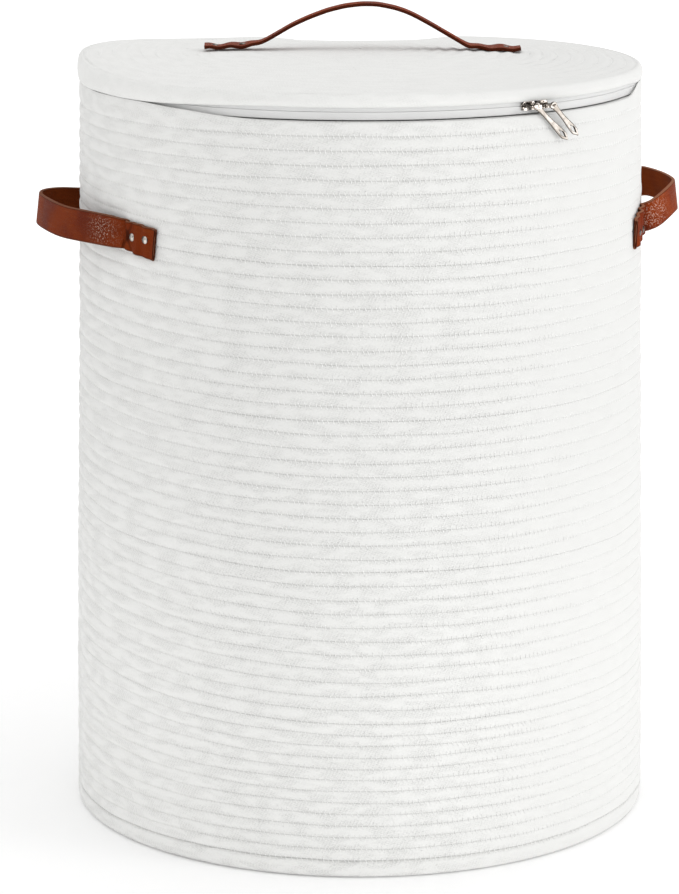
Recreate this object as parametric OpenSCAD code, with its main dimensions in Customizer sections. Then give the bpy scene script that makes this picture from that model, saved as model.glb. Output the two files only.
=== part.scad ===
// Round laundry hamper of stitched cotton rope, with a zipped lid and leather handles.
// Millimetres. +Z is up, the front faces -Y, the lid's hinge is at the back (+Y).
// The origin is the centre of the underside.

/* [Basket] */
// Outer diameter at the foot
base_d = 408; // [300:1:480]
// Outer diameter at the rim
rim_d = 392; // [300:1:480]
// Height of the rope wall's rim above the floor
rim_z = 514; // [300:1:700]
// Thickness of the rope that the wall and the base are coiled from
rope_t = 9.5; // [6:0.5:12]
// Rows of tightly packed rope at the foot
foot_rows = 12; // [2:1:20]
// Height of one row in the foot band
foot_pitch = 8.1; // [5:0.1:10]
// Rows of rope above the foot band
upper_rows = 43; // [20:1:60]
// Depth of the groove between two rows
groove = 1.4; // [0.5:0.1:2.5]

/* [Lid] */
// Outer diameter of the lid
lid_d = 394; // [302:1:482]
// Thickness of the lid's rope
lid_t = 8; // [5:0.5:12]
// Rise of the lid's middle over its edge
lid_dome = 8; // [2:0.5:20]
// Rows of rope from the middle of the lid to its edge
lid_rows = 20; // [10:1:30]
// Half angle of the cloth hinge strip at the back
hinge_half = 10; // [6:0.5:14]
// Height that the hinge strip covers on each side of the fold
hinge_reach = 12; // [6:0.5:16]

/* [Zip] */
// Height of the band between the rim and the lid
zip_band = 7.6; // [7:0.1:10]
// Distance of the zip tape from the rim's outer edge
zip_inset = 4.8; // [3.5:0.1:6]
// Thickness of the tape
tape_t = 0.7; // [0.4:0.1:1]
// Height of one half of the chain
chain_h = 1.2; // [0.8:0.1:1.6]
// Thickness of the chain from inside to outside
chain_t = 1.6; // [1.2:0.1:2.4]
// Gap between the two halves of the chain
chain_gap = 1.0; // [0.8:0.1:1.4]
// Angle from the back to each end of the chain
zip_end = 19.5; // [16:0.5:30]
// Angle from the front at which the two sliders meet
slider_az = 36.4; // [0:0.1:60]
// Length of one slider
slider_l = 10.6; // [9:0.1:13]
// Thickness of a slider's plate
plate_t = 1.2; // [0.8:0.1:1.8]
// Radius of the bridge's posts
post_r = 0.9; // [0.6:0.05:1.1]
// Distance between the two posts of a bridge
post_gap = 6.4; // [5.6:0.1:7]
// Length of a pull from its eye to its tip
pull_l = 31; // [15:0.5:40]
// Width of a pull near its tip
pull_w = 5.2; // [4.6:0.1:8]
// Thickness of a pull
pull_t = 1.2; // [0.8:0.1:1.4]
// Lean of the resting pulls from straight down
pull_lean = 52; // [0:1:60]

/* [Side handles] */
// Turn of the pair of handles away from the lid's handle
handle_turn = 14.5; // [-20:0.5:20]
// Row of the upper wall that the left handle is riveted to
left_row = 33; // [10:1:40]
// Row of the upper wall that the right handle is riveted to
right_row = 32; // [10:1:40]
// Width of the strap
strap_w = 21; // [12:0.5:30]
// Thickness of the strap
strap_t = 2.4; // [1.5:0.1:4]
// Half angle of the free loop
loop_half = 23.3; // [16:0.1:28]
// Stand-off of the loop's outer face from the wall
loop_out = 31; // [20:0.5:45]
// Length of the riveted tab at each end
tab_l = 31; // [24:0.5:40]
// Distance of the first rivet from the fold of the strap
rivet_in = 9; // [6:0.5:10]
// Distance between the two rivets of a tab
rivet_gap = 13.6; // [9:0.1:16]

/* [Lid handle] */
// Width of the lid's strap
lid_strap_w = 16; // [10:0.5:24]
// Thickness of the lid's strap
lid_strap_t = 2.2; // [1.5:0.1:4]
// Half length of the arch between the tabs
arch_half = 70; // [50:1:90]
// Height of the arch's top over the middle of the lid
arch_h = 30; // [20:0.5:45]
// Length of each flat tab
lid_tab_l = 42; // [38:0.5:50]
// Row of the lid that takes the inner rivet
lid_rivet_row = 8; // [8:1:9]

/* [Rivets] */
// Diameter of a rivet's cap
cap_d = 7; // [5:0.5:9]
// Height of a rivet's cap
cap_h = 1.6; // [1:0.1:2.5]
// Radius of a rivet's shank
shank_r = 1.6; // [1:0.1:2]
// Diameter of the washer on the inside
washer_d = 10; // [8:0.5:12]
// Thickness of the washer
washer_t = 1; // [0.5:0.1:1.5]

/* [Hidden] */

$fn = 96;
eps = 0.01;                       // overlap that makes a cut clean
fit = 0.3;                        // gap between pieces that move past each other
run = 0.08;                       // running clearance of a post in its eye
shank_play = 0.1;                 // clearance of a rivet's shank in its hole
seat = 0.1;                       // gap under a piece that sits on rope, leather or metal

// Rope wall
base_r = base_d / 2;
rim_r = rim_d / 2;
foot_top = rope_t + foot_rows * foot_pitch;
row_h = (rim_z - foot_top) / upper_rows;
crest = 0.5;                      // share of a row that its crest takes
function wall_r(z) = base_r + (rim_r - base_r) * z / rim_z;
function row_z(i) = i < foot_rows ? rope_t + i * foot_pitch
                                  : foot_top + (i - foot_rows) * row_h;
function row_mid(i) = (row_z(i) + row_z(i + 1)) / 2;
left_z = row_mid(foot_rows + left_row);      // height of the left handle's middle
right_z = row_mid(foot_rows + right_row);    // height of the right handle's middle
hole_r = shank_r + shank_play;

// Lid
lid_r = lid_d / 2;
lid_z = rim_z + zip_band;
lid_edge_r = lid_r - lid_t / 2;   // centre of the edge row
lid_pitch = lid_edge_r / lid_rows;
dome_power = 2.4;
function lid_rise(r) = lid_dome * (1 - pow(min(r, lid_edge_r) / lid_edge_r, dome_power));
function lid_top(r) = lid_z + lid_t + lid_rise(r);
function lid_row_r(i) = (i + 0.5) * lid_pitch;

// Cloth hinge, which folds half way up the zip band
hinge_t = 0.8;                    // thickness of the strip
fold_z = rim_z + zip_band / 2;
strip_in = max(wall_r(fold_z - hinge_reach), rim_r);
fold_gap = 0.6;                   // gap between the strip's two halves at the fold

// Zip
zip_r = rim_r - zip_inset;
chain_low = fold_z - chain_gap / 2 - chain_h;
chain_high = fold_z + chain_gap / 2;
chain_half = 180 - zip_end;       // angle from the front to the chain's end
stop_l = 2.4;                     // length of an end stop
stop_t = chain_t + 0.4;           // thickness of an end stop

// Sliders
slider_gap = 0.5;                 // gap between the two sliders where they meet
slider_pitch = slider_l + slider_gap;
slider_step = slider_pitch / 2 / zip_r * 180 / PI;
plate_in = chain_t / 2 + fit;     // from the tape's middle to a plate's inner face
plate_out = plate_in + plate_t;
lip_h = 0.9;                      // height of the lip that holds the lower tape
plate_low = chain_low - fit - lip_h;
plate_high = lid_z - 2 * fit;
plate_cut = 1.3;                  // cut-off corner of a plate
neck_l = 2.8;                     // length of the neck between the plates
neck_set = 0.4;                   // distance of the neck from the mouth
neck_h = chain_gap - 0.4;
pull_clear = 1.2;                 // gap between the rim and the lower pull
slider_turn = 2 * slider_step;    // angle between the two sliders
pull_past = pull_l + post_gap / 2 - slider_pitch;  // reach of a pull past the next slider
layer_in = rim_r + pull_clear;    // inner face of the lower pull
layer_out = (layer_in + pull_t + fit + pull_past * sin(slider_turn)) / cos(slider_turn);
bar_y = layer_out + pull_t + seat;  // inner face of the bridge's bar
bar_t = 1.2;                      // thickness of the bar
bar_h = 2.2;                      // height of the bar
eye_r = 2.5;                      // outer radius of a pull's eye
pull_neck_w = 3.4;                // width of a pull at its eye
pull_wide = 5;                    // distance of a pull's widest place from its tip
pull_bevel = 1.8;                 // height of the cut-off corners at the tip
pull_tip = 1.4;                   // width of the cut-off corners at the tip
slot_l = 6.8;                     // length of the slot in a pull
slot_w = 2.6;                     // width of the slot in a pull

// Side handles
strap_in = max(wall_r(min(left_z, right_z) - strap_w / 2),
               wall_r(max(left_z, right_z) + strap_w / 2)) + seat;
strap_out = strap_in + strap_t;
tab_half = loop_half + tab_l / strap_out * 180 / PI;
loop_chord = strap_out * sin(loop_half);
loop_sag = strap_in + loop_out - strap_out * cos(loop_half);
loop_r = (loop_chord * loop_chord + loop_sag * loop_sag) / (2 * loop_sag);
loop_c = strap_in + loop_out - loop_r;
rivet_az = [loop_half + rivet_in / strap_out * 180 / PI,
            loop_half + (rivet_in + rivet_gap) / strap_out * 180 / PI];
wall_in = min(wall_r(min(left_z, right_z) - washer_d / 2),
              wall_r(max(left_z, right_z) + washer_d / 2)) - rope_t;
washer_sit = sqrt(wall_in * wall_in - washer_d * washer_d / 4) - seat;
left_place = [-90 + handle_turn, left_z];    // angle and height of a handle's middle
right_place = [90 + handle_turn, right_z];

// Lid handle
arch_top = lid_top(0) + arch_h;
arch_foot = lid_top(arch_half) + seat + lid_strap_t;
arch_sag = arch_top - arch_foot;
arch_r = (arch_half * arch_half + arch_sag * arch_sag) / (2 * arch_sag);
arch_c = arch_top - arch_r;
lid_tab_end = arch_half + lid_tab_l;
lid_rivet_x = [lid_row_r(lid_rivet_row), lid_row_r(lid_rivet_row + 2)];
tail_r = shank_r + 1;             // radius of a rivet's closed tail
tail_h = 0.8;                     // height of a rivet's closed tail

rope_colour = [0.93, 0.93, 0.91];
tape_colour = [0.96, 0.96, 0.95];
leather_colour = [0.55, 0.25, 0.13];
metal_colour = [0.72, 0.69, 0.65];

// Turns a piece drawn at the front (-Y) to an angle round the basket
module at(az) rotate([0, 0, az]) children();

// Draws a piece along +Z so that it points outwards from a point at the front
module outwards(r, z) translate([0, -r, z]) rotate([90, 0, 0]) children();

// A band round the axis, from its inner and outer radius and its lowest and highest level
module band(r0, r1, z0, z1, half = 180)
    rotate([0, 0, -90 - half])
        rotate_extrude(angle = 2 * half)
            translate([r0, z0]) square([r1 - r0, z1 - z0]);

// The two ends of a band, as short blocks
module end_blocks(z0)
    for (side = [-1, 1])
        at(side * (chain_half + (stop_l / 2 + seat) / zip_r * 180 / PI))
            translate([-stop_l / 2, -zip_r - stop_t / 2, z0])
                cube([stop_l, stop_t, chain_h]);

// Rivet along +Z: its cap sits on z = 0 and its tail closes on z = -grip
module rivet(grip) {
    rotate_extrude()
        intersection() {
            dome_r = (cap_d * cap_d / 4 + cap_h * cap_h) / (2 * cap_h);
            translate([0, cap_h - dome_r]) circle(dome_r);
            square([cap_d / 2, cap_h]);
        }
    translate([0, 0, -grip - tail_h]) cylinder(h = grip + tail_h + eps, r = shank_r);
    translate([0, 0, -grip - tail_h]) cylinder(h = tail_h, r = tail_r);
}

module washer()
    difference() {
        cylinder(h = washer_t, d = washer_d);
        translate([0, 0, -eps]) cylinder(h = washer_t + 2 * eps, r = hole_r);
    }

// The angles of one side handle's rivets
module handle_rivet_places(place)
    for (side = [-1, 1], a = rivet_az)
        at(place[0] + side * a) children();

module lid_rivet_places()
    for (side = [-1, 1], x = lid_rivet_x)
        translate([side * x, 0, 0]) children();

// ---------------------------------------------------------------- basket

module rope_base()
    color(rope_colour)
        rotate_extrude() {
            square([base_r - rope_t / 2, rope_t]);
            translate([base_r - rope_t / 2, rope_t / 2]) circle(rope_t / 2);
        }

module wall_profile() {
    rows = foot_rows + upper_rows;
    outer = [for (i = [0 : rows - 1])
                let (z0 = row_z(i), h = row_z(i + 1) - z0)
                each [[wall_r(z0) - groove, z0],
                      [wall_r(z0 + h * crest / 2), z0 + h * crest / 2],
                      [wall_r(z0 + h * (1 - crest / 2)), z0 + h * (1 - crest / 2)]]];
    polygon(concat(outer, [[rim_r - groove, rim_z],
                           [rim_r - rope_t, rim_z],
                           [wall_r(rope_t) - rope_t, rope_t]]));
}

module rope_wall()
    color(rope_colour)
        difference() {
            rotate_extrude() wall_profile();
            for (place = [left_place, right_place])
                handle_rivet_places(place)
                    outwards(wall_in - rope_t, place[1])
                        cylinder(h = 3 * rope_t, r = hole_r);
        }

module zip_tape_lower()
    color(tape_colour)
        band(zip_r - tape_t / 2, zip_r + tape_t / 2, rim_z, chain_low);

module zip_chain_lower()
    color(tape_colour)
        band(zip_r - chain_t / 2, zip_r + chain_t / 2, chain_low, chain_low + chain_h, chain_half);

module zip_stops_lower() color(metal_colour) end_blocks(chain_low);

module hinge_strip_lower()
    color(rope_colour)
        at(180) band(strip_in, strip_in + hinge_t, fold_z - hinge_reach, fold_z - fold_gap / 2,
                     hinge_half);

// ---------------------------------------------------------------- side handles

// Plan of a strap at the front: tabs against the wall and a round loop between them
module strap_plan()
    intersection() {
        difference() {
            union() {
                circle(strap_out);
                translate([0, -loop_c]) circle(loop_r);
            }
            circle(strap_in);
            translate([0, -loop_c]) circle(loop_r - strap_t);
        }
        reach = 2 * strap_out;
        polygon([[0, 0], [-reach * sin(tab_half), -reach * cos(tab_half)],
                 [reach * sin(tab_half), -reach * cos(tab_half)]]);
    }

module side_handle(place)
    color(leather_colour)
        difference() {
            at(place[0]) translate([0, 0, place[1] - strap_w / 2])
                linear_extrude(strap_w) strap_plan();
            handle_rivet_places(place)
                outwards(strap_in - 1, place[1]) cylinder(h = strap_t + 2, r = hole_r);
        }

module handle_rivets(place)
    color(metal_colour)
        handle_rivet_places(place)
            outwards(strap_out, place[1]) rivet(strap_out - washer_sit + washer_t);

module handle_washers(place)
    color(metal_colour)
        handle_rivet_places(place)
            outwards(washer_sit - washer_t, place[1]) washer();

module side_handle_left() side_handle(left_place);
module side_handle_right() side_handle(right_place);
module rivets_left() handle_rivets(left_place);
module rivets_right() handle_rivets(right_place);
module washers_left() handle_washers(left_place);
module washers_right() handle_washers(right_place);

// ---------------------------------------------------------------- lid

module lid_profile() {
    upper = [for (i = [0 : lid_rows - 1])
                let (r0 = i * lid_pitch, q = lid_pitch * crest / 2)
                each [[r0, lid_top(r0) - groove],
                      [r0 + q, lid_top(r0 + q)],
                      [r0 + lid_pitch - q, lid_top(r0 + lid_pitch - q)]]];
    lower = [for (i = [lid_rows : -1 : 0])
                [i * lid_pitch, lid_z + lid_rise(i * lid_pitch)]];
    edge = [for (a = [90 : -15 : -75])
                [lid_edge_r + lid_t / 2 * cos(a), lid_z + lid_t / 2 * (1 + sin(a))]];
    polygon(concat(upper, edge, lower));
}

module lid_coil()
    color(rope_colour)
        difference() {
            rotate_extrude() lid_profile();
            lid_rivet_places()
                translate([0, 0, lid_z]) cylinder(h = 3 * lid_t, r = hole_r);
        }

module zip_tape_upper()
    color(tape_colour)
        band(zip_r - tape_t / 2, zip_r + tape_t / 2, chain_high + chain_h, lid_z);

module zip_chain_upper()
    color(tape_colour)
        band(zip_r - chain_t / 2, zip_r + chain_t / 2, chain_high, chain_high + chain_h, chain_half);

module zip_stops_upper() color(metal_colour) end_blocks(chain_high);

module hinge_strip_upper()
    color(rope_colour)
        at(180) band(lid_r, lid_r + hinge_t, fold_z + fold_gap / 2, fold_z + hinge_reach, hinge_half);

// ---------------------------------------------------------------- lid handle

// What lies under the strap, as long as it is wide: the lid's crests and an arch over them
module under_strap(lift, past, r, width) {
    steps = 14;
    half = lid_tab_end + past;
    translate([0, width / 2, 0]) rotate([90, 0, 0]) linear_extrude(width)
        polygon(concat([for (i = [-steps : steps])
                           let (x = i * half / steps) [x, lid_top(abs(x)) + lift]],
                       [[half, lid_z - past], [-half, lid_z - past]]));
    intersection() {
        translate([0, width / 2, arch_c]) rotate([90, 0, 0]) cylinder(h = width, r = r);
        translate([-arch_half - 1, -width, lid_z + 1])
            cube([2 * arch_half + 2, 2 * width, arch_top]);
    }
}

module lid_handle()
    color(leather_colour)
        difference() {
            under_strap(seat + lid_strap_t, 0, arch_r, lid_strap_w);
            under_strap(seat, 1, arch_r - lid_strap_t, lid_strap_w + 1);
            lid_rivet_places()
                translate([0, 0, lid_z]) cylinder(h = 4 * lid_t, r = hole_r);
        }

lid_cap_z = [for (x = lid_rivet_x) lid_top(x - cap_d / 2) + lid_strap_t + 2 * seat];
lid_washer_z = [for (x = lid_rivet_x) lid_z + lid_rise(x + washer_d / 2) - seat];

module lid_rivets()
    color(metal_colour)
        for (side = [-1, 1], i = [0, 1])
            translate([side * lid_rivet_x[i], 0, lid_cap_z[i]])
                rivet(lid_cap_z[i] - lid_washer_z[i] + washer_t);

module lid_washers()
    color(metal_colour)
        for (side = [-1, 1], i = [0, 1])
            translate([side * lid_rivet_x[i], 0, lid_washer_z[i] - washer_t]) washer();

// ---------------------------------------------------------------- sliders and pulls

// Slider round the tape, drawn at the front. mouth is +1 where its wide end points to the right.
module slider_body(mouth)
    color(metal_colour) {
        for (side = [-1, 1])
            translate([0, -zip_r + side * (plate_in + plate_t / 2), 0]) rotate([90, 0, 0])
                translate([0, 0, -plate_t / 2]) linear_extrude(plate_t) slider_plate(mouth);
        for (side = [-1, 1])
            translate([-slider_l / 2 + 1, 0, plate_low])
                translate([0, -zip_r + (side < 0 ? -plate_in - eps : tape_t / 2 + fit), 0])
                    cube([slider_l - 2, plate_in - tape_t / 2 - fit + eps, lip_h]);
        translate([mouth * (slider_l / 2 - neck_l / 2 - neck_set) - neck_l / 2,
                   -zip_r - plate_in - eps, fold_z - neck_h / 2])
            cube([neck_l, 2 * (plate_in + eps), neck_h]);
    }

// Outline of a slider's plate: square shoulders at the mouth and a narrower tail
module slider_plate(mouth) {
    half = slider_l / 2;
    cut = plate_cut;
    polygon([[mouth * half, plate_low + cut], [mouth * half, plate_high - cut],
             [mouth * (half - cut), plate_high], [-mouth * (half - 2 * cut), plate_high],
             [-mouth * half, plate_high - 1.5 * cut], [-mouth * half, plate_low + 1.5 * cut],
             [-mouth * (half - 2 * cut), plate_low], [mouth * (half - cut), plate_low]]);
}

module slider_bridge()
    color(metal_colour) {
        for (side = [-1, 1])
            translate([side * post_gap / 2, 0, 0]) outwards(zip_r + plate_out, fold_z)
                cylinder(h = bar_y - zip_r - plate_out + bar_t / 2, r = post_r);
        translate([-(post_gap + bar_h) / 2, -bar_y - bar_t, fold_z - bar_h / 2])
            cube([post_gap + bar_h, bar_t, bar_h]);
    }

// A pull that hangs straight down from its eye, lying on the plane of its back
module pull_plate() {
    neck_y = -(post_r + run + eye_r) / 2;
    wide_y = pull_wide - pull_l;
    tip_y = pull_bevel - pull_l;
    tip_x = pull_w / 2 - pull_tip;
    difference() {
        union() {
            cylinder(h = pull_t, r = eye_r);
            linear_extrude(pull_t)
                polygon([[-pull_neck_w / 2, neck_y], [pull_neck_w / 2, neck_y],
                         [pull_w / 2, wide_y], [pull_w / 2, tip_y], [tip_x, -pull_l],
                         [-tip_x, -pull_l], [-pull_w / 2, tip_y], [-pull_w / 2, wide_y]]);
        }
        translate([0, 0, -eps]) cylinder(h = pull_t + 2 * eps, r = post_r + run);
        translate([0, wide_y, -eps]) linear_extrude(pull_t + 2 * eps)
            polygon([[0, slot_l / 2], [slot_w / 2, 0], [0, -slot_l / 2], [-slot_w / 2, 0]]);
    }
}

module pull(layer)
    color(metal_colour)
        translate([post_gap / 2, 0, 0]) outwards(layer, fold_z)
            rotate([0, 0, pull_lean]) pull_plate();

module slider_left_body() at(slider_az - slider_step) slider_body(1);
module slider_left_bridge() at(slider_az - slider_step) slider_bridge();
module pull_left() at(slider_az - slider_step) pull(layer_in);
module slider_right_body() at(slider_az + slider_step) slider_body(-1);
module slider_right_bridge() at(slider_az + slider_step) slider_bridge();
module pull_right() at(slider_az + slider_step) pull(layer_out);

rope_base();
rope_wall();
zip_tape_lower();
zip_chain_lower();
zip_stops_lower();
hinge_strip_lower();
side_handle_left();
rivets_left();
washers_left();
side_handle_right();
rivets_right();
washers_right();
lid_coil();
zip_tape_upper();
zip_chain_upper();
zip_stops_upper();
hinge_strip_upper();
lid_handle();
lid_rivets();
lid_washers();
slider_left_body();
slider_left_bridge();
pull_left();
slider_right_body();
slider_right_bridge();
pull_right();
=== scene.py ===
"""Laundry hamper of coiled cotton rope, with a zipped lid and leather handles.

Metres, +Z up, the front faces -Y and the lid's hinge is at the back. Angles are measured
round the axis from the front towards +X.
"""
from functools import partialmethod
import bpy
import numpy as np
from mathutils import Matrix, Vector


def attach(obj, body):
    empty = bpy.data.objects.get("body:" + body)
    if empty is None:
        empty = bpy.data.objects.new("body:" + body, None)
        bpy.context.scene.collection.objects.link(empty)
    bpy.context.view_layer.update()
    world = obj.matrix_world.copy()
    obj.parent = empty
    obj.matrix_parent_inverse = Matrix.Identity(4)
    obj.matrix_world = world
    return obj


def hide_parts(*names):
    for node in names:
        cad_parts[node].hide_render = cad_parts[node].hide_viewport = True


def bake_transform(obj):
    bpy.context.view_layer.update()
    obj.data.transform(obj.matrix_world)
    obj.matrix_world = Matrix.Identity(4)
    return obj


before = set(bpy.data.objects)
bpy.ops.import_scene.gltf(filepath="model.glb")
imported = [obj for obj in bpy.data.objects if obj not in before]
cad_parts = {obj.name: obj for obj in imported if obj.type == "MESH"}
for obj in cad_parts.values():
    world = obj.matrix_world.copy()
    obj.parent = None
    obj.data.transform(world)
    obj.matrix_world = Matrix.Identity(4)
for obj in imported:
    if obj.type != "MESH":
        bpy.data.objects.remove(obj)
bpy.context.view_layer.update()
scene = bpy.context.scene
MM = 0.001
TURN = 2 * np.pi

# Sizes shared with the solids: the wall's radius below and at the rim and its height, the
# rope, the floor and the top of the round foot, the lid, the lid's fold, the zip's tape, a
# pull's post and the zip's half length
BASE_R, RIM_R, RIM_Z = 204 * MM, 196 * MM, 514 * MM
ROPE, FLOOR, EDGE_TOP = 9.5 * MM, 9.5 * MM, 12.6 * MM
LID_R, LID_T, LID_Z, LID_DOME = 197 * MM, 8 * MM, 521.6 * MM, 8 * MM
EDGE_R = LID_R - LID_T / 2
FOLD_Z, ZIP_R, POST_SIDE = 517.8 * MM, 191.2 * MM, 3.2 * MM
ZIP_HALF = np.radians(160.5)
# Rows: the closer ones of the foot, which reach up to FOOT_TOP, those above and the lid's
FOOT_TOP, FOOT_ROWS, UPPER_ROWS, LID_ROWS = 106.7 * MM, 12, 43, 20
# Softness: how far the rim sinks all round, and how far it dips at the hinge and how many
# degrees to both sides
RIM_SINK, DIP, DIP_HALF = 2.3 * MM, 7.5 * MM, 25
# The length of a stitch on its map, and the floor's middle behind the hamper
STITCH_MAP, FLOOR_BACK = 2.2 * MM, 2.0
# Places round the hamper, in degrees from the front
BACK, LEFT_SIDE = 180, -97
UP, EAST = np.array([0.0, 0.0, 1.0]), np.array([1.0, 0.0, 0.0])


# ------------------------------------------------------------------ shape helpers

def polar(r, az, z):
    """Points at radius r and angle az from the front, as x = r sin az, y = -r cos az."""
    r, az, z = np.broadcast_arrays(r, az, z)
    return np.stack([r * np.sin(az), -r * np.cos(az), z], axis=-1)


def ease(x, low, high):
    """Smooth step: 0 below low, 1 above high, and 3t^2 - 2t^3 between them."""
    t = np.clip((np.asarray(x) - low) / (high - low), 0, 1)
    return t * t * (3 - 2 * t)


def signed(az):
    """The same angle between minus and plus half a turn."""
    return (np.asarray(az) + np.pi) % TURN - np.pi


def hump(az, middle, half):
    """Squared cosine of the angle, 1 at the middle and 0 from half away on, both in degrees."""
    away = np.abs(signed(az - np.radians(middle))) / np.radians(half)
    return np.cos(np.clip(away, 0, 1) * np.pi / 2) ** 2


def round_turn(count):
    """Even angles round a turn, from the front on."""
    return np.arange(count) * TURN / count


def hill(x, middle, spread):
    """Bell curve, 1 at the middle."""
    return np.exp(-((x - middle) / spread) ** 2)


def wander(az, rows, low, high, size, seed):
    """Uneven hand work: each row is a sum of cosines with low to high waves round a turn,
    random strengths and random starts."""
    rng = np.random.default_rng(seed)
    waves = np.arange(low, high + 1)
    start = rng.uniform(0, TURN, (rows, waves.size, 1))
    strength = rng.normal(0, 1, (rows, waves.size, 1)) / np.sqrt(waves.size)
    return size * (strength * np.cos(waves[None, :, None] * az[None, None, :] + start)).sum(axis=1)


def grid_index(rows, columns, wrap_rows=False, wrap_columns=False, first=0, poles=False):
    """Numbers of the points of a grid, with the first row or column again where it closes.
    With poles, the first and the last row are one point each."""
    index = first + np.arange(rows * columns).reshape(rows, columns)
    if poles:
        index[0], index[-1] = index[0, 0], index[-1, 0]
    if wrap_rows:
        index = np.vstack([index, index[:1]])
    if wrap_columns:
        index = np.hstack([index, index[:, :1]])
    return index


def corners(grid):
    """The four corners of each cell of a grid of numbers or of points."""
    cells = np.stack([grid[:-1, :-1], grid[:-1, 1:], grid[1:, 1:], grid[1:, :-1]], axis=2)
    return cells.reshape((-1, 4) + grid.shape[2:])


def closed(values):
    """A grid of numbers with its first row and column repeated at the end."""
    values = np.vstack([values, values[:1]])
    return np.hstack([values, values[:, :1]])


def corner_map(along, across):
    """Map coordinates of each cell's corners, from two grids."""
    return corners(np.stack(np.broadcast_arrays(along, across), axis=-1))


def put(name, points, faces, uv, material, smooth=True, **marks):
    """Makes a piece from points, four-cornered cells, their map coordinates, if it has a
    map, and one number per point for each mark. Points in no cell are left out. A corner
    that repeats the one after it is dropped, so a cell at a pole becomes a triangle."""
    used, flat = np.unique(faces, return_inverse=True)
    points = np.asarray(points, dtype=np.float32).reshape(-1, 3)[used]
    faces = flat.reshape(-1, 4).astype(np.int32)
    repeated = faces == np.roll(faces, -1, axis=1)
    count = 4 - repeated.sum(axis=1)
    kept = count >= 3
    faces, repeated, count = faces[kept], repeated[kept], count[kept]
    loops = faces[~repeated]
    mesh = bpy.data.meshes.new(name)
    mesh.vertices.add(len(points))
    mesh.vertices.foreach_set("co", points.ravel())
    mesh.loops.add(len(loops))
    mesh.loops.foreach_set("vertex_index", loops)
    mesh.polygons.add(len(count))
    starts = np.concatenate([[0], np.cumsum(count)[:-1]]).astype(np.int32)
    mesh.polygons.foreach_set("loop_start", starts)
    layer = mesh.uv_layers.new(name="UVMap")
    uv = np.zeros((len(loops), 2)) if uv is None else uv[kept][~repeated]
    layer.data.foreach_set("uv", uv.astype(np.float32).ravel())
    for mark, values in marks.items():
        data = mesh.attributes.new(mark, "FLOAT", "POINT").data
        data.foreach_set("value", np.asarray(values, dtype=np.float32).ravel()[used])
    mesh.polygons.foreach_set("use_smooth", np.full(len(count), smooth))
    mesh.update(calc_edges=True)
    mesh.validate()
    mesh.materials.append(material)
    piece = bpy.data.objects.new(name, mesh)
    scene.collection.objects.link(piece)
    return piece


def settle_in(piece, body, slot, *nodes):
    """Rides a finished piece on its body and hides the solids that it stands for; slot is not used.
    """
    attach(piece, body)
    if nodes:
        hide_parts(*nodes)
    return piece


# ------------------------------------------------------------------ materials

class Value:
    """A number or vector socket of a shader; sums and products of numbers add Math nodes."""

    def __init__(self, kit, socket):
        self.kit, self.socket = kit, socket

    def math(self, operation, *others):
        """One Math node over this number and others."""
        node = self.kit.add("ShaderNodeMath", {"operation": operation}, **{
            f"in{i}": value for i, value in enumerate((self,) + others)})
        return Value(self.kit, node.outputs[0])

    __add__ = __radd__ = partialmethod(math, "ADD")
    __sub__ = partialmethod(math, "SUBTRACT")
    __mul__ = __rmul__ = partialmethod(math, "MULTIPLY")
    __truediv__ = partialmethod(math, "DIVIDE")
    absolute = partialmethod(math, "ABSOLUTE")
    sine = partialmethod(math, "SINE")
    fraction = partialmethod(math, "FRACT")
    power = partialmethod(math, "POWER")
    least = partialmethod(math, "MINIMUM")
    most = partialmethod(math, "MAXIMUM")

    def __rsub__(self, other):
        return (self * -1.0) + other

    def between(self, low, high, out_low=0.0, out_high=1.0, form="SMOOTHSTEP"):
        """This number mapped from one range to another, without leaving the second."""
        node = self.kit.add("ShaderNodeMapRange", {"interpolation_type": form, "clamp": True},
                            in0=self, in1=low, in2=high, in3=out_low, in4=out_high)
        return Value(self.kit, node.outputs[0])


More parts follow.
